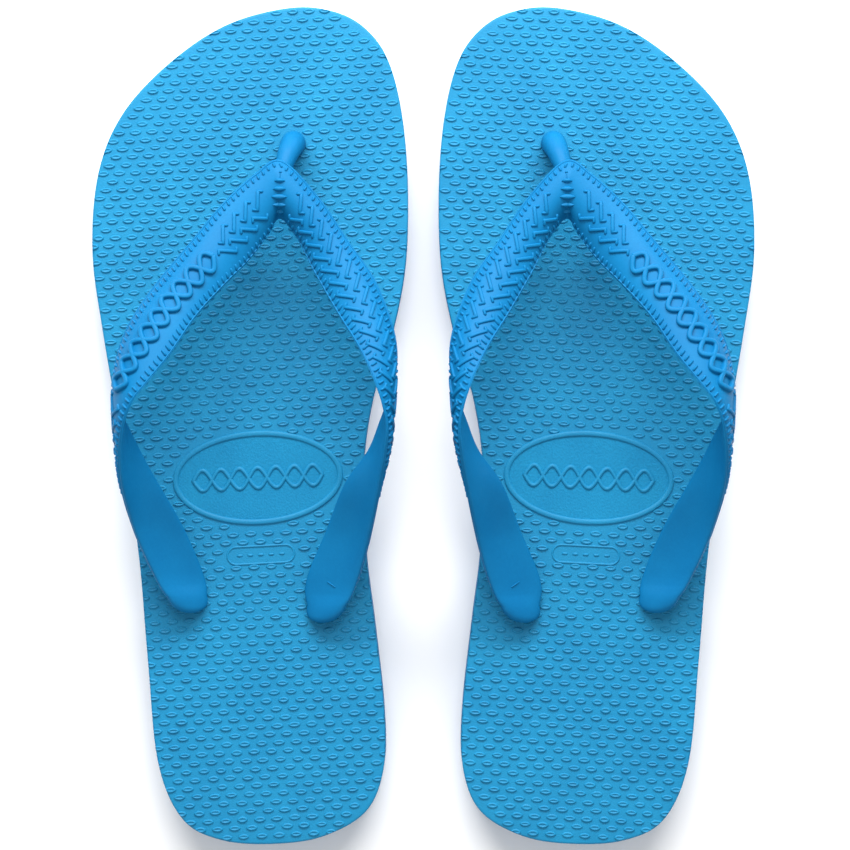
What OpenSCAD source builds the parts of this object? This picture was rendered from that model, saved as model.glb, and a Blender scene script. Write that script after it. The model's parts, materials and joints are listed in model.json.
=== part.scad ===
// A pair of thong sandals (flip flops) standing side by side.
// Each sandal is a die-cut sole of two bonded rubber layers and one moulded
// strap whose three plugs are pushed through the sole and held by discs below.
// The left sandal is drawn about its own centreline and the right one mirrors it.

/* [Sole] */
// Scale of the sole's outline, 1 is a foot length of 245 mm
size_k = 1; // [0.95:0.01:1.05]
// Thickness of the whole sole under the heel
heel_t = 17; // [15:0.5:20]
// Thickness of the whole sole at the toe
toe_t = 13.5; // [11:0.5:15]
// Thickness of the textured top layer
footbed_t = 5; // [3:0.5:7]
// Distance of the flex line in front of the middle of the sole
flex_y = 30; // [20:1:40]
// Gap at the flex line between the two halves of a sole
flex_gap = 0.3; // [0.2:0.1:0.6]

/* [Pair] */
// Half the distance between the two sandals' centrelines
half_spacing = 53; // [53:1:80]
// Angle that each sandal's toe turns away from straight ahead
toe_angle = 3; // [0:1:8]

/* [Strap] */
// Thickness of the strap band over the foot
band_t = 3; // [2:0.5:4]
// Thickness of the band's two rear ends
lug_t = 4.6; // [3:0.2:6]
// Thickness of the yoke where the two arms meet
yoke_t = 4.2; // [3:0.2:5]
// How far the band's section bulges away from the foot
band_bow = 1.5; // [0:0.1:3]
// How much more it bulges at the yoke
yoke_bow = 1.4; // [0:0.1:2]
// Diameter of the plugs that go through the sole
plug_d = 7; // [6:0.5:9]
// Diameter of the discs that hold the plugs
disc_d = 18; // [14:1:22]
// Thickness of the discs
disc_t = 2.6; // [2:0.2:3]

/* [Hidden] */

// Points on the sole's edge, from the toe round the big-toe side to the heel and back
outline = [
    [20, 126.5], [34, 124], [43, 117.5], [48.5, 107.5], [51.5, 91], [52, 70], [50, 46], [44.5, 24],
    [38, 6], [34, -15], [33.5, -40], [35, -62], [36.5, -88], [35.5, -106], [29.5, -119], [16, -126],
    [0.5, -127.5], [-15, -125.5], [-26.5, -118.5], [-33, -101], [-34.5, -70], [-35.5, -40],
    [-37.5, -18], [-40, 5], [-43, 30], [-45, 55], [-42, 79], [-33.5, 97], [-18, 112], [0, 122.5]
] * size_k;
outline_steps = 5;

// Where the three plugs go through the sole: toe, outer side and inner side
toe_plug = [18, 85] * size_k;
outer_plug = [-20.5, -50] * size_k;
inner_plug = [19.5, -54] * size_k;

// The band's two edges, from the outer lug over the yoke to the inner lug.
// Heights are above the footbed.
low_edge = [
    [-18.5, -55.6, 2.4], [-15.6, -50.8, 1.6], [-16.5, -43.5, 2.4], [-21.5, -29, 8], [-29.5, -12, 17],
    [-34.5, 0, 23], [-38, 9, 26], [-37.5, 20, 28], [-33.5, 31, 27.5], [-25.5, 42.5, 25], [-13, 56.5, 22],
    [-4, 66.5, 19.5], [6, 75, 17.5], [14.5, 79, 17], [25, 67.5, 17.5], [33.5, 53.5, 19.5], [41.5, 40, 22.5],
    [46, 23, 26], [44.5, 9.5, 26.5], [40, -1, 24], [36, -9.5, 20], [28.5, -19, 15], [22, -33, 7],
    [15.2, -47.5, 2.4], [15, -55.4, 1.6], [17.4, -60.6, 2.4]
] * size_k;
high_edge = [
    [-21.5, -55.8, 3.6], [-27, -50.8, 8.2], [-31, -42.5, 11], [-35.5, -29, 17.5], [-37.5, -14.5, 29],
    [-36, -1, 37], [-32.5, 8, 40.5], [-27.5, 14, 40], [-20.5, 22, 36.5], [-12.5, 33, 31], [-4, 42, 25.5],
    [3, 48.8, 20.5], [9, 56.2, 16.5], [13, 61.5, 14.5], [18, 55.2, 16.5], [22.5, 45, 20.5], [29, 32, 26.5],
    [35, 21, 34], [39.5, 10, 39], [42, -1, 38.5], [41, -10.5, 34.5], [38.5, -22, 26.5], [34.5, -37, 16.5],
    [30.4, -49.2, 10.8], [26.6, -56.2, 8.2], [20.4, -61, 3.8]
] * size_k;
band_steps = 3;
band_sides = 16;
// How thin the band's edges get over the foot and at its two ends, 1 is an ellipse
arm_taper = 1.5;
lug_taper = 0.8;
last_station = len(low_edge) - 1;
yoke_station = 13;

post_d = 6.4;
plug_clearance = 0.05;
sole_len = 254 * size_k;
slope = atan((heel_t - toe_t) / sole_len);
far = 400;
round_n = 64;

// A point between b and c on the smooth curve through a, b, c and d
function curve_point(a, b, c, d, t) =
    ((2 * b) + (c - a) * t + (2 * a - 5 * b + 4 * c - d) * t * t
        + (3 * b - a - 3 * c + d) * t * t * t) / 2;
// Smooth curve through a closed list of points
function closed_curve(p, steps) = [
    for (i = [0:len(p) - 1], k = [0:steps - 1])
        curve_point(p[(i + len(p) - 1) % len(p)], p[i], p[(i + 1) % len(p)], p[(i + 2) % len(p)], k / steps)
];
// Point at station s, which may lie between two points, on an open list of points
function station(p, s) =
    let (i = min(floor(s), len(p) - 2), a = p[max(i - 1, 0)], d = p[min(i + 2, len(p) - 1)])
    curve_point(a, p[i], p[i + 1], d, s - i);
function unit(v) = v / norm(v);
function sign_pow(x, e) = sign(x) * pow(abs(x), e);

edge = closed_curve(outline, outline_steps);
// The pair stands centred on its origin from heel to toe
turned_y = [for (p = edge) p[0] * sin(toe_angle) + p[1] * cos(toe_angle)];
centre_y = (max(turned_y) + min(turned_y)) / 2;

// Height of the footbed above the ground at a distance y along the sole
function top_z(y) = (heel_t + toe_t) / 2 - y * tan(slope);
// 1 at the yoke's middle, falling smoothly to 0 two stations away
function near_yoke(s) = (1 + cos(90 * min(2, abs(s - yoke_station)))) / 2;
// Thickness of the band at station s: thick at both lugs and the yoke, thin over the foot
function thickness(s) =
    let (from_end = min(s, last_station - s))
    from_end < 1 ? lug_t * (0.55 + 0.45 * from_end)
        : band_t + (lug_t - band_t) * max(0, 1 - (from_end - 1) / 5) + (yoke_t - band_t) * near_yoke(s);
// Bulge of the band's section at station s
function bow(s) = band_bow * min(1, min(s, last_station - s) / 3) + yoke_bow * near_yoke(s);

// Taper of the band's edges at station s
function taper(s) =
    lug_taper + (arm_taper - lug_taper) * max(0, min(1, (min(s, last_station - s) - 3) / 4));

// One ring of the band's surface, standing on the footbed
function band_ring(s) =
    let (
        lo = station(low_edge, s), hi = station(high_edge, s),
        next = min(s + 0.2, last_station), last = max(s - 0.2, 0),
        along = station(low_edge, next) + station(high_edge, next)
            - station(low_edge, last) - station(high_edge, last),
        middle = (lo + hi) / 2, half = (hi - lo) / 2,
        away = unit(cross(half, along)),
        lift = [0, 0, top_z(middle[1])]
    )
    [for (k = [0:band_sides - 1])
        let (
            a = 360 * (k + 0.5) / band_sides,
            u = cos(a), v = sign_pow(sin(a), taper(s))
        )
        middle + lift + half * u + away * (bow(s) * (1 - u * u) - v * thickness(s) / 2)
    ];

// The side of the sole that is in front of or behind the flex line
module flex_side(front) {
    shift = (front ? 1 : -1) * (far / 2 + flex_gap / 2);
    translate([0, flex_y + shift, 0]) cube([far, far, far], center = true);
}

// Everything that is below the footbed's surface less a depth
module below_surface(depth) {
    translate([0, 0, top_z(0) - depth]) rotate([-slope, 0, 0])
        translate([-far / 2, -far / 2, -far]) cube([far, far, far]);
}

module plug_holes() {
    for (p = [toe_plug, outer_plug, inner_plug])
        translate([p[0], p[1], -1]) cylinder(h = heel_t * 2, d = plug_d + 2 * plug_clearance, $fn = round_n);
}

module disc_recesses() {
    for (p = [toe_plug, outer_plug, inner_plug])
        translate([p[0], p[1], -1]) cylinder(h = disc_t + 1.4, d = disc_d + 0.4, $fn = round_n);
}

// Textured top layer of one half of the sole
module footbed(front) {
    difference() {
        intersection() {
            linear_extrude(height = heel_t * 2) polygon(edge);
            below_surface(0);
            flex_side(front);
        }
        below_surface(footbed_t);
        plug_holes();
    }
}

// Bottom layer of one half of the sole, with the recesses for the discs
module outsole(front) {
    difference() {
        intersection() {
            linear_extrude(height = heel_t * 2) polygon(edge);
            below_surface(footbed_t);
            flex_side(front);
        }
        plug_holes();
        disc_recesses();
    }
}

// The band over the foot as one closed skin from lug to lug
module band() {
    stations = [for (i = [0:last_station * band_steps]) i / band_steps];
    rings = [for (s = stations) band_ring(s)];
    n = band_sides;
    last = len(rings) - 1;
    skin = [for (i = [0:last - 1], k = [0:n - 1])
        let (a = i * n + k, b = i * n + (k + 1) % n)
        each [[a, b + n, b], [a, a + n, b + n]]
    ];
    caps = [[for (k = [0:n - 1]) k], [for (k = [n - 1:-1:0]) last * n + k]];
    polyhedron(points = [for (r = rings) each r], faces = concat(skin, caps), convexity = 8);
}

// A plug through the sole with the disc that holds it below
module plug(p, rise) {
    translate([p[0], p[1], 0.4]) cylinder(h = top_z(p[1]) + rise - 0.4, d = plug_d, $fn = round_n);
    translate([p[0], p[1], 0.4]) cylinder(h = disc_t - 0.05, d = disc_d, $fn = round_n);
}

// The post between the toes, leaning back from the toe plug to the underside of the yoke
module post() {
    foot = [toe_plug[0], toe_plug[1], top_z(toe_plug[1])];
    knee = foot + [-0.8, -1, 8];
    head = foot + [-3.8, -9.5, 15.2];
    hull() {
        translate(foot + [0, 0, 3]) sphere(d = plug_d, $fn = 32);
        translate(knee) sphere(d = post_d, $fn = 32);
    }
    hull() {
        translate(knee) sphere(d = post_d, $fn = 32);
        translate(head) sphere(d = post_d - 1, $fn = 32);
    }
}

module strap() {
    band();
    post();
    plug(toe_plug, 3);
    plug(outer_plug, 4);
    plug(inner_plug, 4);
}

// Places a left sandal's piece in the pair
module left() {
    translate([-half_spacing, -centre_y, 0]) rotate([0, 0, toe_angle]) children();
}

// Places a right sandal's piece in the pair
module right() {
    mirror([1, 0, 0]) left() children();
}

module left_footbed_front() { color("deepskyblue") left() footbed(true); }
module left_footbed_rear() { color("dodgerblue") left() footbed(false); }
module left_outsole_front() { color("steelblue") left() outsole(true); }
module left_outsole_rear() { color("steelblue") left() outsole(false); }
module left_strap() { color("royalblue") left() strap(); }
module right_footbed_front() { color("deepskyblue") right() footbed(true); }
module right_footbed_rear() { color("dodgerblue") right() footbed(false); }
module right_outsole_front() { color("steelblue") right() outsole(true); }
module right_outsole_rear() { color("steelblue") right() outsole(false); }
module right_strap() { color("royalblue") right() strap(); }

left_footbed_front();
left_footbed_rear();
left_outsole_front();
left_outsole_rear();
left_strap();
right_footbed_front();
right_footbed_rear();
right_outsole_front();
right_outsole_rear();
right_strap();
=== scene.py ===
"""Looks for a pair of rubber flip flops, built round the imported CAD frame.

Each sandal gets three pieces: a textured footbed, an outsole with its tread, and
a moulded strap with its relief. They are drawn once, in millimetres, in the left
sandal's own frame (x across, y towards the toes, z up from the ground) and placed
in the pair from the CAD hinge. The right sandal mirrors the left one.
"""
import json
import math

import bpy
import numpy as np
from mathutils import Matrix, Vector


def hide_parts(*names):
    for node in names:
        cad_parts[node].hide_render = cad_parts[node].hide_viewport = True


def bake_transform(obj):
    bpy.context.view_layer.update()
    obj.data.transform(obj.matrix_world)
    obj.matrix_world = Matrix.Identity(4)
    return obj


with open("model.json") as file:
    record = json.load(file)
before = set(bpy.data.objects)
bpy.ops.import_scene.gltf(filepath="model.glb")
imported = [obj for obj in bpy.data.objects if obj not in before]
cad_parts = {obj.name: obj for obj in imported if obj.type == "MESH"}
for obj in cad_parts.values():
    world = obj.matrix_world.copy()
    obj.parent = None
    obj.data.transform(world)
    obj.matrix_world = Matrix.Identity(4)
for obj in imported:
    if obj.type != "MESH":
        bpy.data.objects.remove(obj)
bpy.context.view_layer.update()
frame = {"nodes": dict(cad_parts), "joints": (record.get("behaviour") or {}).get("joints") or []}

MM = 0.001

# ---------------------------------------------------------------- the frame
FLEX_FORWARD = 30.0  # the flex line is this far in front of the sole's middle
PLUGS = [(18.0, 85.0), (-20.5, -50.0), (19.5, -54.0)]  # toe, outer side, inner side
PLUG_CLEAR = 5.0  # no outline point lies this near a plug
FLEX_CLEAR = 0.3  # or this near the flex line

joint = next(j for j in frame["joints"] if j["name"] == "left_toe_flex")
ACROSS = np.array(joint["axis"][:2])
TOEWARD = np.array([-ACROSS[1], ACROSS[0]])
ORIGIN = np.array(joint["pos_m"][:2]) / MM - FLEX_FORWARD * TOEWARD


def to_row(points, side):
    """Points of the left sandal's own frame, in millimetres, as the pair's metres."""
    p = np.asarray(points, float)
    xy = ORIGIN + p[:, :1] * ACROSS + p[:, 1:2] * TOEWARD
    row = np.column_stack([xy, p[:, 2]]) * MM
    if side == "right":
        row[:, 0] *= -1
    return row


def to_sandal(points):
    """Points of the pair's frame, in metres, as the left sandal's own millimetres."""
    p = np.asarray(points, float) / MM
    d = p[:, :2] - ORIGIN
    return np.column_stack([d @ ACROSS, d @ TOEWARD, p[:, 2]])


def sole_surface():
    """Corners of the CAD footbed's upper face, in the left sandal's frame."""
    found = []
    for name in ("left_footbed_front", "left_footbed_rear"):
        mesh = frame["nodes"][name].data
        for face in mesh.polygons:
            if face.normal.z > 0.99:
                found += [mesh.vertices[v].co[:] for v in face.vertices]
    return np.unique(np.round(to_sandal(found), 3), axis=0)


surface = sole_surface()
TOP_SLOPE, TOP_MIDDLE = np.polyfit(surface[:, 1], surface[:, 2], 1)


def top_z(y):
    """Height of the footbed above the ground."""
    return TOP_MIDDLE + TOP_SLOPE * np.asarray(y, float)


# ---------------------------------------------------------------- curves
def spline(points, s):
    """Smooth curve through points at stations s, which count the points from 0."""
    p = np.asarray(points, float)
    s = np.clip(np.asarray(s, float), 0, len(p) - 1)
    i = np.minimum(s.astype(int), len(p) - 2)
    t = (s - i)[:, None]
    a, b, c, d = p[np.maximum(i - 1, 0)], p[i], p[i + 1], p[np.minimum(i + 2, len(p) - 1)]
    return (2 * b + (c - a) * t + (2 * a - 5 * b + 4 * c - d) * t**2 + (3 * b - a - 3 * c + d) * t**3) / 2


def lengths(points):
    """Distance walked along a path up to each of its points."""
    return np.concatenate([[0], np.cumsum(np.linalg.norm(np.diff(points, axis=0), axis=1))])


def even_loop(points, count):
    """A closed loop through points, resampled at even distances."""
    p = np.vstack([points, points[:1]])
    walked = lengths(p)
    at = np.linspace(0, walked[-1], count, endpoint=False)
    return np.column_stack([np.interp(at, walked, p[:, k]) for k in (0, 1)])


OUTLINE_STEPS = 6  # points made for each corner of the CAD's edge


def outline_loop(count):
    """The sole's edge from the CAD, counter-clockwise, smoothed and evenly spaced."""
    p = surface[:, :2]
    keep = np.abs(p[:, 1] - FLEX_FORWARD) > FLEX_CLEAR
    for plug in PLUGS:
        keep &= np.linalg.norm(p - plug, axis=1) > PLUG_CLEAR
    p = p[keep]
    p = p[np.argsort(np.arctan2(p[:, 1], p[:, 0]))]
    wrapped = np.vstack([p[-2:], p, p[:3]])
    dense = spline(wrapped, np.arange(0, len(p) * OUTLINE_STEPS) / OUTLINE_STEPS + 2)
    return even_loop(dense, count)


EDGE_COUNT = 320
SOLE_HALF = 128.0  # half the sole's length, rounded up
edge = outline_loop(EDGE_COUNT)
step = np.roll(edge, -1, axis=0) - np.roll(edge, 1, axis=0)
edge_normal = np.column_stack([step[:, 1], -step[:, 0]]) / np.linalg.norm(step, axis=1)[:, None]
edge_angle = np.arctan2(edge[:, 1], edge[:, 0])
edge_radius = np.hypot(edge[:, 0], edge[:, 1])
by_angle = np.argsort(edge_angle)


def radius_at(x, y):
    """Distance from the sole's middle to its edge, in the direction of a point."""
    return np.interp(np.arctan2(y, x), edge_angle[by_angle], edge_radius[by_angle], period=2 * math.pi)


def room_to_edge(x, y):
    """Roughly how far a point is inside the sole's edge; negative outside."""
    return radius_at(x, y) - np.hypot(x, y)


def edge_distance(x, y):
    """Shortest distance from a point to the sole's edge; 0 outside."""
    return np.hypot(edge[:, 0] - x, edge[:, 1] - y).min() if room_to_edge(x, y) > 0 else 0.0


# ---------------------------------------------------------------- meshes
class Skin:
    """The points and faces of one piece, gathered part by part."""

    def __init__(self):
        self.points, self.faces, self.slots, self.count = [], [], [], 0

    def add(self, points, faces, slot=0):
        self.points.append(np.asarray(points, float))
        self.faces += [[i + self.count for i in f] for f in faces]
        self.slots += [slot] * len(faces)
        self.count += len(points)

    def build(self, name, side, materials):
        points = to_row(np.vstack(self.points), side)
        faces = self.faces if side == "left" else [f[::-1] for f in self.faces]
        mesh = bpy.data.meshes.new(name)
        mesh.from_pydata(points.tolist(), [], faces)
        for m in materials:
            mesh.materials.append(m)
        mesh.polygons.foreach_set("material_index", self.slots)
        mesh.polygons.foreach_set("use_smooth", [True] * len(faces))
        mesh.update()
        piece = bpy.data.objects.new(name, mesh)
        bpy.context.scene.collection.objects.link(piece)
        return piece


def ring_faces(rings, sides, closed=True):
    """Quads between rings of points; closed joins each ring's last point to its first.

    They face outwards when the rings run counter-clockwise and spread from a top
    middle over a rim and down."""
    n = sides if closed else sides - 1
    return [
        [r * sides + k, (r + 1) * sides + k, (r + 1) * sides + (k + 1) % sides, r * sides + (k + 1) % sides]
        for r in range(rings - 1) for k in range(n)
    ]


def copies(template, faces, places, skin, slot=0):
    """Adds the same small solid at many places: places is a list of point arrays."""
    n = len(template)
    all_faces = [[i + k * n for i in f] for k in range(len(places)) for f in faces]
    skin.add(np.vstack(places), all_faces, slot)


def unit_rows(v):
    return v / (np.linalg.norm(v, axis=1)[:, None] + 1e-12)


SINK = 0.3  # how deep the foot of a rib is let into its surface
BOX_POWER = 0.55  # 1 makes a rib's section half an ellipse, less makes it boxier


def tube(path, normals, half_width, rise, sides=8, boxy=False):
    """A raised rib along a path on a surface, with rounded ends.

    Its section is half an ellipse, or a box with rounded corners."""
    path, normals = np.asarray(path, float), np.asarray(normals, float)
    along = unit_rows(np.gradient(path, axis=0))
    across = unit_rows(np.cross(normals, along))
    n = len(path)
    width = np.broadcast_to(half_width, n)
    height = np.broadcast_to(rise, n)
    nose = [(-1.0, 0.05, 0), (-0.72, 0.7, 0)]
    tail = [(0.72, 0.7, n - 1), (1.0, 0.05, n - 1)]
    turn = np.linspace(math.pi, 0, sides)
    power = BOX_POWER if boxy else 1.0
    flat, up = np.sign(np.cos(turn)) * np.abs(np.cos(turn)) ** power, np.sin(turn) ** power
    rings = []
    for push, size, i in nose + [(0.0, 1.0, i) for i in range(n)] + tail:
        centre = path[i] + along[i] * push * width[i]
        sideways = np.outer(flat, across[i]) * width[i] * size
        upwards = np.outer(up * (height[i] + SINK) * size - SINK, normals[i])
        rings.append(centre + sideways + upwards)
    return np.vstack(rings), ring_faces(len(rings), sides, closed=False)


# ---------------------------------------------------------------- materials
class Nodes:
    """A material's node tree, with short ways to add and join nodes."""

    def __init__(self, name):
        self.material = bpy.data.materials.new(name)
        self.material.use_nodes = True
        self.tree = self.material.node_tree
        self.shader = self.tree.nodes["Principled BSDF"]

    def add(self, kind, **sockets):
        node = self.tree.nodes.new(kind)
        for key, value in sockets.items():
            if hasattr(value, "is_output"):
                self.tree.links.new(value, node.inputs[key.replace("_", " ")])
            else:
                node.inputs[key.replace("_", " ")].default_value = value
        return node

    def link(self, a, b):
        self.tree.links.new(a, b)

    def spread(self, value, low, high, to_low, to_high):
        """Stretches the range low to high of a value onto another range."""
        node = self.add("ShaderNodeMapRange", Value=value, From_Min=low, From_Max=high,
                        To_Min=to_low, To_Max=to_high)
        return node.outputs["Result"]

    def mix(self, a, b, factor, blend="MIX"):
        """Mixes two colours, each a socket or a plain colour."""
        node = self.tree.nodes.new("ShaderNodeMix")
        node.data_type = "RGBA"
        node.blend_type = blend
        first, second = [s for s in node.inputs if s.type == "RGBA"]
        for socket, value in ((node.inputs["Factor"], factor), (first, a), (second, b)):
            if hasattr(value, "is_output"):
                self.link(value, socket)
            else:
                socket.default_value = value
        return next(s for s in node.outputs if s.type == "RGBA")


CLOUD_SCALE = 55.0
GLOSS_RANGE = 0.06  # how far the roughness goes up and down with the clouds


def rubber(name, colours, roughness, grain_size, grain_depth, speckle, gloss):
    """Moulded or cut rubber: cloudy colour, uneven gloss and a fine grain."""
    light, dark = colours
    n = Nodes(name)
    where = n.add("ShaderNodeTexCoord").outputs["Object"]
    cloud_noise = n.add("ShaderNodeTexNoise", Vector=where, Scale=CLOUD_SCALE, Detail=4.0, Roughness=0.55)
    fine_noise = n.add("ShaderNodeTexNoise", Vector=where, Scale=1.0 / grain_size, Detail=3.0, Roughness=0.6)
    cloud, fine = cloud_noise.outputs["Fac"], fine_noise.outputs["Fac"]
    clouds = n.mix((*dark, 1), (*light, 1), n.spread(cloud, 0.35, 0.65, 0.0, 1.0))
    specks = n.spread(fine, 0.3, 0.7, 1.0 - speckle, 1.0 + speckle)
    n.link(n.mix(clouds, specks, 1.0, "MULTIPLY"), n.shader.inputs["Base Color"])
    uneven = n.spread(cloud, 0.0, 1.0, roughness - GLOSS_RANGE, roughness + GLOSS_RANGE)
    n.link(uneven, n.shader.inputs["Roughness"])
    bump = n.add("ShaderNodeBump", Strength=1.0, Distance=grain_depth, Height=fine)
    n.link(bump.outputs["Normal"], n.shader.inputs["Normal"])
    n.shader.inputs["Specular IOR Level"].default_value = gloss
    return n.material


# Each rubber's light and dark colour
FOOTBED_BLUE = (0.0075, 0.210, 0.400), (0.0055, 0.184, 0.365)
STRAP_BLUE = (0.0036, 0.150, 0.345), (0.0027, 0.133, 0.318)
SIDE_BLUE = (0.0085, 0.175, 0.395), (0.0065, 0.150, 0.355)

footbed_rubber = rubber("footbed_rubber", FOOTBED_BLUE, roughness=0.50, grain_size=0.00045,
                        grain_depth=0.00010, speckle=0.07, gloss=0.22)
panel_rubber = rubber("panel_rubber", FOOTBED_BLUE, roughness=0.55, grain_size=0.0006,
                      grain_depth=0.00018, speckle=0.10, gloss=0.14)
side_rubber = rubber("cut_edge_rubber", SIDE_BLUE, roughness=0.72, grain_size=0.0006,
                     grain_depth=0.00012, speckle=0.10, gloss=0.2)
outsole_rubber = rubber("outsole_rubber", SIDE_BLUE, roughness=0.62, grain_size=0.0006,
                        grain_depth=0.00008, speckle=0.07, gloss=0.2)
strap_rubber = rubber("strap_rubber", STRAP_BLUE, roughness=0.48, grain_size=0.0008,
                      grain_depth=0.00003, speckle=0.03, gloss=0.09)

# ---------------------------------------------------------------- sole
FOOTBED_T = 5.0
RINGS = 28
COARSE_RINGS = 14
CORE = 0.004  # the innermost ring's size, as a part of the sole's
SOFT_EDGE = 0.7  # width of the footbed's softened edge


def sole_rings(profile, scales, inset, height):
    """Rings of points under or on the sole.

    scales shrink the edge, moved in by an inset, towards the middle at a height
    that depends on y; profile adds rings of (inset, height function)."""
    rings = []
    inner = edge - edge_normal * inset
    for scale in scales:
        p = inner * scale
        rings.append(np.column_stack([p, height(p[:, 1])]))
    for distance, rim_height in profile:
        p = edge - edge_normal * distance
        rings.append(np.column_stack([p, rim_height(p[:, 1])]))
    return rings


def below_top(depth):
    return lambda y: top_z(y) - depth


def above_ground(height):
    return lambda y: np.full(len(y), float(height))


def add_rings(skin, rings, slot=0):
    sides = len(rings[0])
    skin.add(np.vstack(rings), ring_faces(len(rings), sides), slot)


def footbed_plate(skin):
    """The top layer: a smooth upper face with a softened edge, its cut side and its underside."""
    spread = np.linspace(CORE, 1, RINGS)
    shrink = np.linspace(1, CORE, COARSE_RINGS)
    rim = [(0.22, below_top(0.06)), (0.06, below_top(0.22)), (0.0, below_top(0.5))]
    cut = [(0.0, below_top(0.5)), (0.0, below_top(1.6)), (0.0, below_top(3.2)),
           (0.0, below_top(FOOTBED_T - 0.2)), (0.14, below_top(FOOTBED_T)), (SOFT_EDGE, below_top(FOOTBED_T))]
    add_rings(skin, sole_rings(rim, spread, SOFT_EDGE, below_top(0)), 0)
    add_rings(skin, sole_rings(cut, [], 0, None), 1)
    add_rings(skin, sole_rings([], shrink, SOFT_EDGE, below_top(FOOTBED_T)), 1)


OVAL = (1.8, -16.1, 25.8, 14.2)  # middle x and y, half length and half width
PILL = (1.5, -39.5, 20.3, 5.3)  # middle x and y, length and width
GRAIN_ZONES = [-20, 40]  # the pattern changes slowly between these two places along the sole
GRAIN_PITCH = [5.26, 4.95]  # from grain to grain in a row, behind and in front
GRAIN_ROW = [2.55, 2.44]  # from row to row
GRAIN_SHIFT = [0.52, 0.57]  # how far each row is set over, as a part of the pitch
GRAIN_L, GRAIN_W, GRAIN_H = 3.7, 1.85, 0.42
GRAIN_UNEVEN = [0.04, 0.07, 0.08, 0.07, 0.1]  # scatter of length, width, x, y and height
GRAIN_DISH = 0.42  # height of the middle of a grain's dished top, as a part of its height
# A grain's layers from its top down: length and width as parts of the foot's, and height
GRAIN_LAYERS = [(0.5, 0.22, 0.55), (0.68, 0.45, 0.95), (0.8, 0.62, 1.0), (0.9, 0.82, 0.62),
                (1.03, 1.06, -0.3)]
OVAL_ROOM = (1.0, 0.5)  # room left round the oval, endways and sideways
PILL_ROOM = (1.2, 0.5)  # and round the small frame
STEM_ROOM = 3.6  # and round the middle of each plug
EDGE_ROOM, EDGE_CUT = 0.2, 0.3  # grains start this far inside the sole's edge and are cut off at this


def grain_template(sides=12):
    """A lens-shaped pad with sloping walls and a slightly dished top, 1 long, 1 wide and 1 high."""
    a = np.linspace(0, 2 * math.pi, sides, endpoint=False)
    lens = np.column_stack([np.cos(a), np.sign(np.sin(a)) * np.abs(np.sin(a)) ** 1.25]) / 2
    points = [np.column_stack([lens * (kx, ky), np.full(sides, z)]) for kx, ky, z in GRAIN_LAYERS]
    faces = ring_faces(len(GRAIN_LAYERS), sides)
    middle = len(GRAIN_LAYERS) * sides
    faces += [[k, (k + 1) % sides, middle] for k in range(sides)]
    return np.vstack(points + [[[0, 0, GRAIN_DISH]]]), faces


def covered(x, y):
    """True where the oval panel or the small frame leaves no room for a grain."""
    cx, cy, a, b = OVAL
    in_oval = ((x - cx) / (a + OVAL_ROOM[0])) ** 2 + ((y - cy) / (b + OVAL_ROOM[1])) ** 2 < 1
    px, py, length, width = PILL
    in_pill = abs(x - px) < length / 2 + PILL_ROOM[0] and abs(y - py) < width / 2 + PILL_ROOM[1]
    near_plug = any(math.hypot(x - p[0], y - p[1]) < STEM_ROOM for p in PLUGS)
    return in_oval or in_pill or near_plug


def grain_rows(direction):
    """Rows of grains from the sole's middle one way: each row's y, first x and pitch."""
    y, x = 0.0, 0.0
    while abs(y) < SOLE_HALF:
        pitch = np.interp(y, GRAIN_ZONES, GRAIN_PITCH)
        if y or direction > 0:
            yield y, x % pitch, pitch
        y += direction * np.interp(y, GRAIN_ZONES, GRAIN_ROW)
        x -= direction * pitch * np.interp(y, GRAIN_ZONES, GRAIN_SHIFT)


def grains(skin):
    """Staggered rows of grains over the whole footbed, cut off where the sole's edge was cut."""
    template, faces = grain_template()
    rng = np.random.default_rng(7)
    places = []
    for y, first, pitch in [*grain_rows(1), *grain_rows(-1)]:
        for x in first + pitch * np.arange(-12, 12):
            longer, wider, aside, ahead, taller = rng.normal(0, 1, 5) * GRAIN_UNEVEN
            if room_to_edge(x, y) < EDGE_ROOM or covered(x, y):
                continue
            p = template * [GRAIN_L * (1 + longer), GRAIN_W * (1 + wider), 1]
            p[:, 0] += x + aside
            p[:, 1] += y + ahead
            reach = np.hypot(p[:, 0], p[:, 1])
            limit = radius_at(p[:, 0], p[:, 1]) - EDGE_CUT
            p[:, :2] *= np.minimum(1, limit / reach)[:, None]
            p[:, 2] = top_z(p[:, 1]) + template[:, 2] * GRAIN_H * (1 + taller)
            places.append(p)
    copies(template, faces, places, skin)


def closed_band(skin, loop_at, profile, count, slot=0):
    """Rings round a closed loop. profile is (offset outwards, height above the footbed)."""
    rings = []
    for offset, height in profile:
        p = loop_at(offset, count)
        rings.append(np.column_stack([p, top_z(p[:, 1]) + height]))
    add_rings(skin, rings, slot)


def oval_loop(offset, count):
    a = np.linspace(0, 2 * math.pi, count, endpoint=False)
    x, y, half_length, half_width = OVAL
    return np.column_stack([x + (half_length + offset) * np.cos(a), y + (half_width + offset) * np.sin(a)])


def pill_loop(offset, count):
    """Two half circles joined by straight lines, at even distances."""
    r = PILL[3] / 2 + offset
    straight = (PILL[2] - PILL[3]) / 2
    a = np.linspace(-math.pi / 2, math.pi / 2, 24)
    right = np.column_stack([straight + r * np.cos(a), r * np.sin(a)])
    loop = np.vstack([right, -right])
    return even_loop(loop, count) + PILL[:2]


def flat_rib(skin, points, half_width, rise):
    """A rib on the footbed."""
    p = np.asarray(points, float)
    path = np.column_stack([p, top_z(p[:, 1])])
    skin.add(*tube(path, np.tile([0.0, 0.0, 1.0], (len(p), 1)), half_width, rise))


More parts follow.
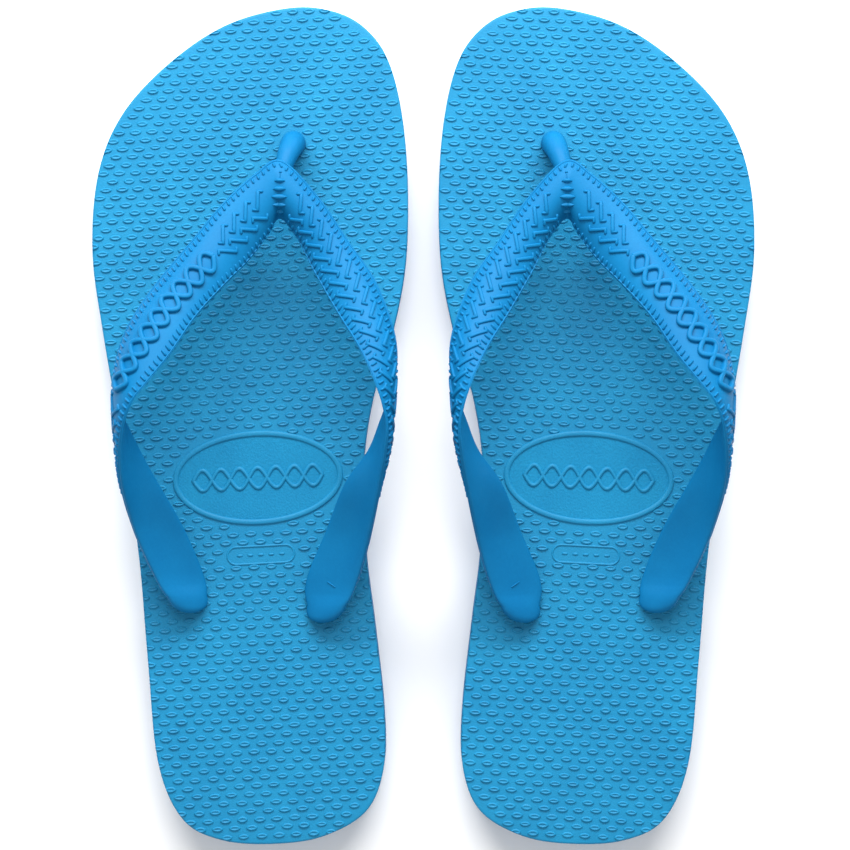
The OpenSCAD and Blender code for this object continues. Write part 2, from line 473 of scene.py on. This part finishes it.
OVAL_RIM = 1.5
RIM_PROFILE = [(-OVAL_RIM - 0.2, -0.1), (-OVAL_RIM, 0.36), (-OVAL_RIM + 0.3, 0.55), (-0.3, 0.55),
               (0.0, 0.36), (0.2, -0.1)]
FINE_PROFILE = [(-0.42, -0.1), (-0.2, 0.26), (0.0, 0.34), (0.2, 0.26), (0.42, -0.1)]
FIELD_RINGS, FIELD_HEIGHT = 8, 0.04  # the smooth field inside the oval's rim
RIM_POINTS, FRAME_POINTS = 200, 120
CHAIN_LINK = 5.6  # length of one oval of the chain
LINK_POINTS = 22
OVAL_LINKS, OVAL_CHAIN_HALF = 7, 3.1  # the footbed's chain: its links and half its height
OVAL_CHAIN_RIB = (0.72, 0.62)  # half width and rise
DOT_PITCH, DOT_HALF, DOT_RIB = 3.2, 0.5, (0.5, 0.34)


def chain(links, half_height):
    """Two crossed waves that make a chain of ovals, as two lists of (along, across)."""
    x = np.linspace(-links / 2, links / 2, links * LINK_POINTS) * CHAIN_LINK
    y = half_height * np.cos((x / CHAIN_LINK + links / 2 - 0.5) * math.pi)
    return [np.column_stack([x, sign * y]) for sign in (-1, 1)]


def footbed_marks(skin):
    """The oval panel's rim with a chain inside, and the small frame with five dots."""
    field = [(-OVAL[3] + k * (OVAL[3] - OVAL_RIM) / (FIELD_RINGS - 1), FIELD_HEIGHT)
             for k in range(FIELD_RINGS)]
    closed_band(skin, oval_loop, field, RIM_POINTS, slot=2)
    closed_band(skin, oval_loop, RIM_PROFILE, RIM_POINTS)
    closed_band(skin, pill_loop, FINE_PROFILE, FRAME_POINTS)
    for wave in chain(OVAL_LINKS, OVAL_CHAIN_HALF):
        flat_rib(skin, wave + OVAL[:2], *OVAL_CHAIN_RIB)
    for k in range(-2, 3):
        a = np.linspace(-DOT_HALF, DOT_HALF, 3)
        flat_rib(skin, np.column_stack([PILL[0] + DOT_PITCH * k + a, PILL[1] + 0 * a]), *DOT_RIB)


TREAD_DEPTH = 0.9
TREAD_PITCH, TREAD_ROW = 9.0, 4.2
DISC_R = 9.0
BORDER, STEP = 3.0, 3.4  # width of the flat border under the sole, and where its inner wall ends
BOSS = [(DISC_R + 2.1, TREAD_DEPTH + 0.1), (DISC_R + 1.8, 0.0), (DISC_R + 0.5, 0.0), (DISC_R + 0.35, 0.1),
        (DISC_R + 0.3, TREAD_DEPTH + 0.1)]
PAD_REACH = 3.5  # half the length of a tread pad, rounded up
PAD_SIDES = 14
PAD_LAYERS = [(1.06, TREAD_DEPTH + 0.1), (1.0, 0.12), (0.9, 0.0)]  # size and height, from its root down
BOSS_ROOM = 5.5  # from a disc's edge to the middle of the nearest pad


def outsole_plate(skin):
    """The bottom layer: its cover, its cut side, a flat border underneath and a recessed field."""
    spread = np.linspace(CORE, 1, COARSE_RINGS)
    cut = [(SOFT_EDGE, below_top(FOOTBED_T)), (0.14, below_top(FOOTBED_T)), (0.0, below_top(FOOTBED_T + 0.2)),
           (0.0, below_top(FOOTBED_T + 2.5)), (0.0, above_ground(4)), (0.0, above_ground(0.8)),
           (0.2, above_ground(0.25)), (0.8, above_ground(0.0))]
    border = [(0.8, above_ground(0)), (BORDER, above_ground(0)), (STEP, above_ground(TREAD_DEPTH))]
    add_rings(skin, sole_rings([], spread, SOFT_EDGE, below_top(FOOTBED_T)), 1)
    add_rings(skin, sole_rings(cut, [], 0, None), 1)
    add_rings(skin, sole_rings(border, [], 0, None), 0)
    add_rings(skin, sole_rings([], np.linspace(1, CORE, RINGS), STEP, above_ground(TREAD_DEPTH)), 0)


def tread(skin):
    """Rows of long pads under the sole, and a raised ring round each retaining disc."""
    a = np.linspace(0, 2 * math.pi, PAD_SIDES, endpoint=False)
    pad = np.column_stack([2.2 * np.tanh(3 * np.cos(a)) + 1.0 * np.cos(a), 1.05 * np.sin(a)])
    rings = [np.column_stack([pad * k, np.full(PAD_SIDES, z)]) for k, z in PAD_LAYERS]
    template = np.vstack(rings + [[[0, 0, 0]]])
    faces = ring_faces(len(PAD_LAYERS), PAD_SIDES)
    last = (len(PAD_LAYERS) - 1) * PAD_SIDES
    faces += [[last + (k + 1) % PAD_SIDES, last + k, last + PAD_SIDES] for k in range(PAD_SIDES)]
    places = []
    for row in range(-32, 33):
        for column in range(-7, 8):
            x, y = (column + 0.5 * (row % 2)) * TREAD_PITCH, row * TREAD_ROW
            near_edge = min(edge_distance(x - PAD_REACH, y), edge_distance(x + PAD_REACH, y)) < STEP + 1.0
            if near_edge or any(math.hypot(x - p[0], y - p[1]) < DISC_R + BOSS_ROOM for p in PLUGS):
                continue
            places.append(template + [x, y, 0])
    copies(template, faces, places, skin)
    for px, py in PLUGS:
        lathe(skin, px, py, BOSS, 0.0)


def lathe(skin, cx, cy, profile, base, sides=48):
    """A turned shape about a vertical line. profile is (radius, height above base)."""
    a = np.linspace(0, 2 * math.pi, sides, endpoint=False)
    add_rings(skin, [np.column_stack([cx + r * np.cos(a), cy + r * np.sin(a), np.full(sides, base + z)])
                     for r, z in profile])


# ---------------------------------------------------------------- strap
# The band's two edges, station by station, from the outer lug over the yoke to
# the inner lug. Heights are above the footbed.
LOW_EDGE = [
    (-18.5, -55.6, 2.4), (-15.6, -50.8, 1.6), (-16.5, -43.5, 2.4), (-21.5, -29, 8), (-29.5, -12, 17),
    (-34.5, 0, 23), (-38, 9, 26), (-37.5, 20, 28), (-33.5, 31, 27.5), (-25.5, 42.5, 25), (-13, 56.5, 22),
    (-4, 66.5, 19.5), (6, 75, 17.5), (14.5, 79, 17), (25, 67.5, 17.5), (33.5, 53.5, 19.5), (41.5, 40, 22.5),
    (46, 23, 26), (44.5, 9.5, 26.5), (40, -1, 24), (36, -9.5, 20), (28.5, -19, 15), (22, -33, 7),
    (15.2, -47.5, 2.4), (15, -55.4, 1.6), (17.4, -60.6, 2.4),
]
HIGH_EDGE = [
    (-21.5, -55.8, 3.6), (-27, -50.8, 8.2), (-31, -42.5, 11), (-35.5, -29, 17.5), (-37.5, -14.5, 29),
    (-36, -1, 37), (-32.5, 8, 40.5), (-27.5, 14, 40), (-20.5, 22, 36.5), (-12.5, 33, 31), (-4, 42, 25.5),
    (3, 48.8, 20.5), (9, 56.2, 16.5), (13, 61.5, 14.5), (18, 55.2, 16.5), (22.5, 45, 20.5), (29, 32, 26.5),
    (35, 21, 34), (39.5, 10, 39), (42, -1, 38.5), (41, -10.5, 34.5), (38.5, -22, 26.5), (34.5, -37, 16.5),
    (30.4, -49.2, 10.8), (26.6, -56.2, 8.2), (20.4, -61, 3.8),
]
LAST = len(LOW_EDGE) - 1
YOKE = 13.0
BAND_T, LUG_T, YOKE_T = 3.0, 4.6, 4.2
LUG_TAPER, ARM_TAPER = 0.8, 1.5  # 1 makes the band's section an ellipse, more makes its edges thinner
NOSE = 1.8  # 2 would make the outline of a lug's tip an ellipse
BOW, YOKE_BOW = 1.5, 1.4  # how far the section bulges away from the foot, and how much more at the yoke
LUG_BOW = 0.9  # and how much more where each lug is hollowed like a shoehorn


def band_frame(s):
    """Middle, half width, outward direction, thickness, bulge and taper of the band at stations s."""
    s = np.clip(np.atleast_1d(np.asarray(s, float)), 0, LAST)
    low, high = spline(LOW_EDGE, s), spline(HIGH_EDGE, s)
    ahead, behind = np.minimum(s + 0.2, LAST), np.maximum(s - 0.2, 0)
    along = spline(LOW_EDGE, ahead) + spline(HIGH_EDGE, ahead)
    along = along - spline(LOW_EDGE, behind) - spline(HIGH_EDGE, behind)
    half = (high - low) / 2
    outward = unit_rows(np.cross(half, along))
    middle = (low + high) / 2
    middle[:, 2] += top_z(middle[:, 1])
    from_end = np.minimum(s, LAST - s)
    nose = (1 - (1 - np.clip(from_end, 0, 1)) ** NOSE) ** (1 / NOSE)
    outer_half, inner_half = (np.linalg.norm(np.subtract(HIGH_EDGE[k], LOW_EDGE[k])) / 2
                              for k in (1, LAST - 1))
    lug_half = np.where(s < YOKE, outer_half, inner_half)
    width = np.where(from_end < 1, lug_half * nose, np.linalg.norm(half, axis=1))
    half = unit_rows(half) * width[:, None]
    t = BAND_T + (LUG_T - BAND_T) * np.clip(1 - (from_end - 1) / 5, 0, 1)
    near_yoke = (1 + np.cos(np.minimum(2, np.abs(s - YOKE)) * math.pi / 2)) / 2
    t = t + (YOKE_T - BAND_T) * near_yoke
    t = np.where(from_end < 1, LUG_T * (0.35 + 0.65 * nose), t)
    bow = BOW * np.clip(from_end / 3, 0, 1) + YOKE_BOW * near_yoke
    bow = bow + LUG_BOW * np.interp(from_end, [0.4, 1.5, 3.5, 6], [0, 1, 1, 0])
    taper = np.interp(from_end, [3, 7], [LUG_TAPER, ARM_TAPER])
    return middle, half, outward, t, bow, taper


def band_point(s, u, face=1):
    """Points on the band's outer (1) or inner (-1) face at stations s.

    u is the place across, -1 at the low edge and 1 at the high one."""
    s, u = np.broadcast_arrays(np.atleast_1d(np.asarray(s, float)), np.asarray(u, float))
    middle, half, outward, t, bow, taper = band_frame(s)
    v = np.maximum(1 - u**2, 0) ** (taper / 2)
    return middle + half * u[:, None] + outward * (bow * (1 - u**2) + face * t / 2 * v)[:, None]


NUDGE = 0.01


def band_slopes(s, u, face=1):
    """How a point of the band moves with the station and with the place across."""
    by_s = band_point(s + NUDGE, u, face) - band_point(s - NUDGE, u, face)
    by_u = band_point(s, u + NUDGE, face) - band_point(s, u - NUDGE, face)
    return by_s / (2 * NUDGE), by_u / (2 * NUDGE)


def band_normal(s, u, face=1):
    by_s, by_u = band_slopes(s, u, face)
    return face * unit_rows(np.cross(by_u, by_s))


def settle(targets, s, u, face=1):
    """Stations and places across of the points on the band nearest to some targets."""
    s, u = np.full(len(targets), float(s)), np.full(len(targets), float(u))
    for _ in range(6):
        gap = targets - band_point(s, u, face)
        by_s, by_u = band_slopes(s, u, face)
        ss, su, uu = (by_s * by_s).sum(1), (by_s * by_u).sum(1), (by_u * by_u).sum(1)
        gs, gu = (gap * by_s).sum(1), (gap * by_u).sum(1)
        det = ss * uu - su * su
        s = s + (uu * gs - su * gu) / det
        u = np.clip(u + (ss * gu - su * gs) / det, -0.95, 0.95)
    return s, u


def band(skin):
    """The band's skin, fine enough to stay round at its edges and at its two ends."""
    turn = np.linspace(math.pi / 2, -math.pi / 2, 25)
    u = np.concatenate([np.sin(turn)[:-1], np.sin(turn[::-1])[:-1]])
    face = np.repeat([1.0, -1.0], len(turn) - 1)
    end = 1 - np.cos(np.linspace(0.08, math.pi / 2, 14))
    stations = np.concatenate([end[:-1], np.linspace(1, LAST - 1, 330), LAST - end[:-1][::-1]])
    middle, half, outward, t, bow, taper = band_frame(stations)
    rings = []
    for i in range(len(stations)):
        v = face * (1 - u**2) ** (taper[i] / 2)
        out = bow[i] * (1 - u**2) + v * t[i] / 2
        rings.append(middle[i] + np.outer(u, half[i]) + np.outer(out, outward[i]))
    sides, last = len(u), (len(stations) - 1) * len(u)
    faces = ring_faces(len(rings), sides)
    hub = last + sides
    faces += [[k, (k + 1) % sides, hub] for k in range(sides)]
    faces += [[last + (k + 1) % sides, last + k, hub + 1] for k in range(sides)]
    skin.add(np.vstack(rings + [[middle[0], middle[-1]]]), faces)


STATIONS = np.linspace(0.5, LAST - 0.5, 1500)


def station_at(u, distance):
    """Stations at distances along the line at place u, from the yoke towards the inner lug."""
    walked = lengths(band_point(STATIONS, u))
    return np.interp(np.interp(YOKE, STATIONS, walked) + np.asarray(distance, float), walked, STATIONS)


def arm_axes(s, u, face=1):
    """A point of the band, the arm's direction away from the yoke there, and the way to the low edge."""
    point, normal = band_point(s, u, face)[0], band_normal(s, u, face)[0]
    way = 1 if s > YOKE else -1
    centre = YOKE + way * max(abs(s - YOKE), 1.0)
    along = (band_point(centre + way, 0) - band_point(centre - way, 0))[0]
    along = along - normal * (along @ normal)
    along /= np.linalg.norm(along)
    lower = np.cross(normal, along)
    if lower @ band_frame(s)[1][0] > 0:
        lower = -lower
    return point, along, lower


def band_rib(skin, s, u, shape, half_width, rise, face=1, boxy=False):
    """A rib on the band through points given as (away from the yoke, towards the low edge)."""
    point, along, lower = arm_axes(s, u, face)
    shape = np.asarray(shape, float)
    targets = point + np.outer(shape[:, 0], along) + np.outer(shape[:, 1], lower)
    at_s, at_u = settle(targets, s, u, face)
    points, normals = band_point(at_s, at_u, face), band_normal(at_s, at_u, face)
    skin.add(*tube(points, normals, half_width, rise, sides=8, boxy=boxy))


def between(a, b, count):
    return np.outer(np.linspace(1, 0, count), a) + np.outer(np.linspace(0, 1, count), b)


BAR_HALF_WIDTH, BAR_RISE = 0.56, 0.6
HOOK_HALF_WIDTH = BAR_HALF_WIDTH * 0.92
HOOK, STUB = 1.15, 0.15
INNER_BAR, OUTER_BAR = math.radians(46), math.radians(43)  # angles to the arm
INNER_LENGTH, OUTER_LENGTH = 5.6, 5.7
INNER_PITCH, OUTER_PITCH = 4.8, 4.95


def bar(skin, s, u, angle, turn, length):
    """One raised bar with a hook at each end.

    turn is 1 where the bar runs from the high edge down to the middle of the arm
    as it leaves the yoke, and -1 where it runs from the low edge up to the middle."""
    way = np.array([math.cos(angle), turn * math.sin(angle)])
    hook = np.array([-math.sin(angle), turn * math.cos(angle)])
    head, tail = -way * length / 2, way * length / 2
    band_rib(skin, s, u, between(head, tail, 6), BAR_HALF_WIDTH, BAR_RISE, boxy=True)
    for end, side in ((head, hook), (tail, -hook)):
        band_rib(skin, s, u, between(end - STUB * side, end + HOOK * side, 3), HOOK_HALF_WIDTH, BAR_RISE)


def herringbone(skin, way, first_inner, first_outer, count):
    """Two interlocking columns of hooked bars along one arm.

    way is 1 on the inner arm and -1 on the outer one; the bars next to the yoke are shorter."""
    inner_u, outer_u = (0.42, -0.26) if way > 0 else (0.27, -0.25)
    for k in range(count):
        d = first_inner + k * INNER_PITCH
        length = INNER_LENGTH - max(0, 20.0 - d) / 10
        bar(skin, float(station_at(inner_u, way * d)), inner_u, INNER_BAR, 1, length)
        d = first_outer + k * OUTER_PITCH
        bar(skin, float(station_at(outer_u, way * d)), outer_u, OUTER_BAR, -1, OUTER_LENGTH)


STITCH_PITCH, STITCH_LEAN = 2.0, 0.4
STITCH_ZONES = [20, 45]  # the stitches grow between these distances from the yoke
STITCH_LENGTH = {-1: [1.0, 1.4], 1: [1.1, 1.3]}  # along the low and along the high edge
STITCH_INSET = {-1: [1.45, 2.2], 1: [1.4, 1.5]}
STITCH_RIB = (0.46, 0.56)  # half width and rise
EDGE_RIB = (0.32, 0.28)


def stitch_row(skin, edge_u, first, last, gap=0.0):
    """Short bars just inside one edge, between two distances from the yoke along that edge."""
    row_u = edge_u * 0.82
    for d in np.arange(first, last, STITCH_PITCH):
        if abs(d) < gap:
            continue
        s = float(station_at(row_u, d))
        half = float(np.linalg.norm(band_frame(s)[1]))
        inset = np.interp(abs(d), STITCH_ZONES, STITCH_INSET[edge_u])
        length = np.interp(abs(d), STITCH_ZONES, STITCH_LENGTH[edge_u])
        end = np.array([-STITCH_LEAN, 1.0]) * length / 2
        band_rib(skin, s, edge_u * (1 - inset / half), between(-end, end, 3), *STITCH_RIB)


def edge_line(skin, edge_u, first, last):
    """A fine raised line along one edge, between two stations."""
    s = np.linspace(first, last, 260)
    u = np.full(len(s), edge_u * 0.955)
    skin.add(*tube(band_point(s, u), band_normal(s, u), *EDGE_RIB, sides=7))


# Each ridge's place across the yoke, its length and its half thickness
RIDGES = [(-0.34, 3.2, 0.7), (-0.07, 3.8, 0.85), (0.2, 4.6, 0.95), (0.46, 4.6, 0.9), (0.7, 3.6, 0.75)]
RIDGE_RISE = 1.0
YOKE_POINT = (-0.62, 0.2, 0.42, 0.5)  # the point in front: place across, length, half width and rise
YOKE_SEAM, SEAM_RIB = (-0.58, -0.4), (0.22, 0.28)  # the fine line from it to the first ridge
PICTURE_X = np.array([ACROSS[0], -ACROSS[1], 0.0])  # straight across the pair, in the sandal's frame


def yoke_rib(skin, u, length, half_width, rise, count=11):
    """A rib straight across the yoke's middle."""
    middle = band_point(YOKE, u)[0]
    targets = middle + np.outer(np.linspace(-length / 2, length / 2, count), PICTURE_X)
    at_s, at_u = settle(targets, YOKE, u)
    skin.add(*tube(band_point(at_s, at_u), band_normal(at_s, at_u), half_width, rise, sides=9))


def yoke_ridges(skin):
    """Stacked lens-shaped ridges down the middle of the yoke, with a small point in front."""
    swell = 0.2 + 0.8 * (1 - np.linspace(-1, 1, 11) ** 2)
    for u, length, thick in RIDGES:
        yoke_rib(skin, u, length, thick * swell, RIDGE_RISE * swell)
    yoke_rib(skin, *YOKE_POINT, count=3)
    u = np.linspace(*YOKE_SEAM, 6)
    s = np.full(len(u), YOKE)
    skin.add(*tube(band_point(s, u), band_normal(s, u), *SEAM_RIB, sides=7))


CHAIN_START = 28.5  # distance from the yoke
ARM_LINKS, ARM_CHAIN_HALF, ARM_CHAIN_U = 9, 3.0, 0.05
ARM_CHAIN_RIB = (0.82, 1.15)  # half width and rise


def arm_chain(skin):
    """The outer arm's motif: a raised chain of ovals where the arm is widest."""
    middle = CHAIN_START + ARM_LINKS * CHAIN_LINK / 2
    for wave in chain(ARM_LINKS, ARM_CHAIN_HALF):
        s = station_at(ARM_CHAIN_U, -(middle + wave[:, 0]))
        half = np.linalg.norm(band_frame(s)[1], axis=1)
        u = ARM_CHAIN_U + wave[:, 1] / half
        skin.add(*tube(band_point(s, u), band_normal(s, u), *ARM_CHAIN_RIB, sides=10, boxy=True))


TICK_AT = (23.1, 0.05)  # station and place across
TICK = [(-0.2, 1.5), (0.2, -1.5)]
TICK_RIB = (0.2, 0.3)  # half width and rise


def tick_mark(skin):
    """A small moulded tick on the face of the inner lug that is seen from above."""
    band_rib(skin, *TICK_AT, TICK, *TICK_RIB, face=-1)


# Herringbone: distance from the yoke of the first bar of each column, and the bars in each
INNER_ARM_BARS = (7.2, 8.8, 21)
OUTER_ARM_FRONT_BARS = (8.4, 8.6, 4)
OUTER_ARM_REAR_BARS = (84.0, 86.0, 6)
# Stitches: distance along the edge from the yoke of a row's two ends, outer arm first
LOW_STITCHES = (-118.0, 118.0)
HIGH_STITCHES = (-108.0, 104.0)
HIGH_GAP = 4.0  # no stitch on the high edge lies this near the yoke's middle


def strap_relief(skin):
    yoke_ridges(skin)
    herringbone(skin, 1, *INNER_ARM_BARS)
    herringbone(skin, -1, *OUTER_ARM_FRONT_BARS)
    arm_chain(skin)
    herringbone(skin, -1, *OUTER_ARM_REAR_BARS)
    stitch_row(skin, -1, *LOW_STITCHES)
    stitch_row(skin, 1, *HIGH_STITCHES, gap=HIGH_GAP)
    edge_line(skin, -1, 2.0, LAST - 2.0)
    edge_line(skin, 1, 2.0, YOKE - 0.5)
    edge_line(skin, 1, YOKE + 0.5, LAST - 2.0)
    tick_mark(skin)


POST_PATH = [(18, 85, -2), (18, 85, 2), (17.9, 84.6, 5.5), (17.4, 83.4, 9), (16.4, 81, 12.2),
             (15.2, 77.6, 14.4), (14.3, 74.2, 16.9)]
POST_R = [3.6, 3.7, 3.75, 3.6, 3.2, 2.7, 1.5]


def post(skin):
    """The post between the toes: a round peg that leans back under the yoke."""
    s = np.linspace(0, len(POST_PATH) - 1, 40)
    path = spline(POST_PATH, s)
    path[:, 2] += top_z(path[:, 1])
    radius = np.interp(s, range(len(POST_R)), POST_R)
    radius[-1] = 0.01
    along = unit_rows(np.gradient(path, axis=0))
    side = unit_rows(np.cross(along, [0.0, 1.0, 0.3]))
    back = np.cross(along, side)
    a = np.linspace(0, 2 * math.pi, 32, endpoint=False)
    rings = [
        path[i] + radius[i] * (np.outer(np.cos(a), side[i]) - np.outer(np.sin(a), back[i]))
        for i in range(len(s))
    ]
    add_rings(skin, rings)


STEM = [(0.01, 2.4), (2.9, 2.3), (3.5, 1.6), (3.6, 0.9), (3.5, 0.2), (3.5, -3.0)]
DISC = [(3.5, 3.0), (DISC_R - 0.3, 3.0), (DISC_R, 2.7), (DISC_R, 0.8), (DISC_R - 0.35, 0.4),
        (2.2, 0.4), (1.8, 0.75), (0.01, 0.8)]


def plugs(skin):
    """Each plug from under its lug down through the sole, and its disc in the outsole."""
    for k, (px, py) in enumerate(PLUGS):
        if k:
            lathe(skin, px, py, STEM, float(top_z(py)))
        lathe(skin, px, py, DISC, 0.0)


# ---------------------------------------------------------------- pieces
BEND_BACK, BEND_FRONT = 12.0, 48.0
STRAP_BACK, STRAP_FRONT = 0.0, 62.0


def bend(piece, side, back, front):
    """Bakes a piece's placement into its mesh."""
    start, end = to_row([(0, back, TOP_MIDDLE), (0, front, TOP_MIDDLE)], side)
    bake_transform(piece)


def footbed_skin():
    skin = Skin()
    footbed_plate(skin)
    grains(skin)
    footbed_marks(skin)
    return skin


def outsole_skin():
    skin = Skin()
    outsole_plate(skin)
    tread(skin)
    return skin


def strap_skin():
    skin = Skin()
    band(skin)
    post(skin)
    plugs(skin)
    strap_relief(skin)
    return skin


def build_pair():
    footbed, outsole, strap = footbed_skin(), outsole_skin(), strap_skin()
    for side in ("left", "right"):
        piece = footbed.build(f"{side}_footbed_sheet", side, [footbed_rubber, side_rubber, panel_rubber])
        bend(piece, side, BEND_BACK, BEND_FRONT)
        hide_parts(f"{side}_footbed_front", f"{side}_footbed_rear")

        piece = outsole.build(f"{side}_outsole_sheet", side, [outsole_rubber, side_rubber])
        bend(piece, side, BEND_BACK, BEND_FRONT)
        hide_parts(f"{side}_outsole_front", f"{side}_outsole_rear")

        piece = strap.build(f"{side}_strap_moulding", side, [strap_rubber])
        bend(piece, side, STRAP_BACK, STRAP_FRONT)
        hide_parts(f"{side}_strap")


build_pair()


# ---------------------------------------------------------------- stage
FLOOR_SIZE, FLOOR_DROP, FLOOR_GREY = 6, 0.0002, 0.93


def make_floor():
    bpy.ops.mesh.primitive_plane_add(size=FLOOR_SIZE, location=(0, 0, -FLOOR_DROP))
    floor = bpy.context.object
    floor.name = "floor"
    n = Nodes("floor_paper")
    n.shader.inputs["Base Color"].default_value = (FLOOR_GREY, FLOOR_GREY, FLOOR_GREY, 1)
    n.shader.inputs["Roughness"].default_value = 0.9
    floor.data.materials.append(n.material)


def make_light(name, size, location, target, power):
    """A rectangular softbox aimed at a target."""
    data = bpy.data.lights.new(name, "AREA")
    data.shape = "RECTANGLE"
    data.size, data.size_y = size
    data.energy = power
    lamp = bpy.data.objects.new(name, data)
    lamp.location = location
    lamp.rotation_euler = (Vector(target) - Vector(location)).to_track_quat("-Z", "Y").to_euler()
    bpy.context.scene.collection.objects.link(lamp)


# Each softbox: its name, size, place, the point it is aimed at and its power in watts
LIGHTS = [
    ("toe_softbox", (1.0, 0.28), (0, 0.68, 0.47), (0, 0.03, 0), 15.5),
    ("toe_sheen", (0.5, 0.3), (0, 0.52, 1.0), (0, 0.12, 0), 3.5),
    ("heel_fill", (0.8, 0.5), (0, -0.75, 0.8), (0, 0, 0), 1.3),
]
SKY = 0.57  # strength of the even white light from all round


def make_stage():
    make_floor()
    for light in LIGHTS:
        make_light(*light)
    world = bpy.data.worlds.new("studio")
    world.use_nodes = True
    world.node_tree.nodes["Background"].inputs["Color"].default_value = (1, 1, 1, 1)
    world.node_tree.nodes["Background"].inputs["Strength"].default_value = SKY
    bpy.context.scene.world = world
    bpy.context.scene.view_settings.view_transform = "Standard"


CAMERA_HEIGHT = 1.2
FRAME_WIDTH = 0.2587  # width of the picture at the footbeds' height
CAMERA_X = 0.0005


def make_camera():
    data = bpy.data.cameras.new("camera")
    data.lens = data.sensor_width * CAMERA_HEIGHT / FRAME_WIDTH
    camera = bpy.data.objects.new("camera", data)
    camera.location = (CAMERA_X, 0, CAMERA_HEIGHT + TOP_MIDDLE * MM)
    bpy.context.scene.collection.objects.link(camera)
    bpy.context.scene.camera = camera


make_stage()
make_camera()
